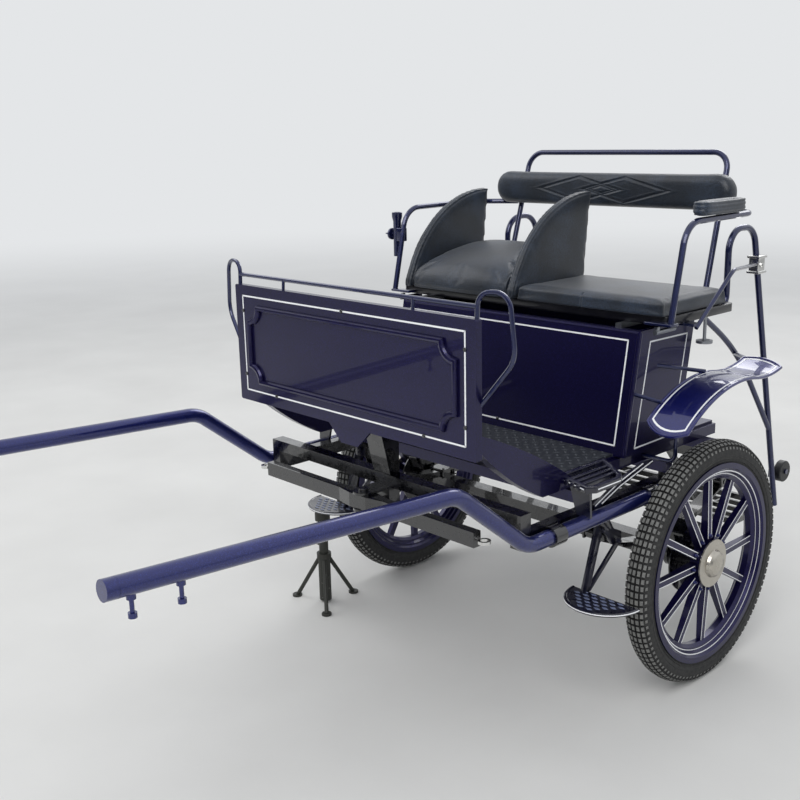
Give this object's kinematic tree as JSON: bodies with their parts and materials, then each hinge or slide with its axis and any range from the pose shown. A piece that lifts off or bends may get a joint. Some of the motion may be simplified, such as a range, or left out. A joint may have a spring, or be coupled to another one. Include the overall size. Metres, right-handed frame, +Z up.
{
  "type": "horse drawn carriage",
  "caption": "Two-wheeled driving carriage (gig) with curved shafts, upright splash board, raised seat with a wedge driver's cushion, rear foot plate and a tripod that props it level.",
  "frame": {"origin": "on the ground under the middle of the whole carriage's box, shaft tips, rear rollers and parked stand included", "axes": "+Z up, -Y towards the horse along the shafts, +X to the carriage's left side; the wheels' middle plane is at X = 0.0183 m and the axle at Y = 0.5174 m"},
  "size_m": [1.3906, 2.6263, 1.52],
  "materials": {
    "panel_paint": "gloss paint",
    "tube_paint": "gloss",
    "chassis_paint": "semi-gloss",
    "bright": "polished",
    "tyre_rubber": "matt",
    "black_rubber": "matt",
    "seat_board": "painted",
    "upholstery": "satin leathercloth over foam",
    "stand_paint": "satin"
  },
  "bodies": {
    "chassis": {"floor_pan": "panel_paint", "front_board": "panel_paint", "box_front": "panel_paint", "box_sides": "panel_paint", "box_back": "panel_paint", "body_sills": "tube_paint", "body_bearers": "tube_paint", "board_rail": "tube_paint", "grab_hoops": "tube_paint", "backrest_frame": "tube_paint", "armrests": "tube_paint", "rear_frames": "tube_paint", "seat_stays": "tube_paint", "mudguards": "tube_paint", "mudguard_stays": "tube_paint", "whip_socket": "tube_paint", "shafts": "tube_paint", "shaft_studs": "tube_paint", "chassis_rails": "chassis_paint", "front_crossmember": "chassis_paint", "rear_crossmember": "chassis_paint", "axle": "chassis_paint", "brake_calipers": "chassis_paint", "springs": "chassis_paint", "spring_hangers": "chassis_paint", "front_mount": "chassis_paint", "rear_step": "chassis_paint", "step_struts": "chassis_paint", "upper_steps": "chassis_paint", "lower_steps": "chassis_paint", "seat_slides": "chassis_paint", "bar_clamps": "bright", "floor_mat": "black_rubber", "body_mounts": "black_rubber", "seat_tray": "seat_board", "passenger_cushion": "upholstery", "driver_cushion": "upholstery", "driver_wings": "upholstery", "backrest_roll": "upholstery", "arm_pads": "upholstery", "tripod_stand": "stand_paint"},
    "left_wheel": {"left_tyre": "tyre_rubber", "left_rim": "tube_paint", "left_hub": "chassis_paint", "left_hub_cap": "bright"},
    "right_wheel": {"right_tyre": "tyre_rubber", "right_rim": "tube_paint", "right_hub": "chassis_paint", "right_hub_cap": "bright"},
    "draught_bar": {"swingletree": "chassis_paint", "trace_hooks": "bright"},
    "left_roller_wheel": {"left_roller": "black_rubber"},
    "right_roller_wheel": {"right_roller": "black_rubber"}
  },
  "joints": [
    {"name": "left_wheel_spin", "type": "hinge", "parent": "chassis", "child": "left_wheel", "pos_m": [0.62931, 0.51743, 0.361], "axis": [1, 0, 0], "continuous": true},
    {"name": "right_wheel_spin", "type": "hinge", "parent": "chassis", "child": "right_wheel", "pos_m": [-0.59269, 0.51743, 0.361], "axis": [1, 0, 0], "continuous": true},
    {"name": "draught_bar_swing", "type": "hinge", "parent": "chassis", "child": "draught_bar", "pos_m": [0.01831, -0.25757, 0.6], "axis": [0, 0, 1], "range_deg": [-15, 15]},
    {"name": "left_roller_spin", "type": "hinge", "parent": "chassis", "child": "left_roller_wheel", "pos_m": [0.46981, 1.27557, 0.42], "axis": [1, 0, 0], "continuous": true},
    {"name": "right_roller_spin", "type": "hinge", "parent": "chassis", "child": "right_roller_wheel", "pos_m": [-0.43319, 1.27557, 0.42], "axis": [1, 0, 0], "continuous": true}
  ]
}
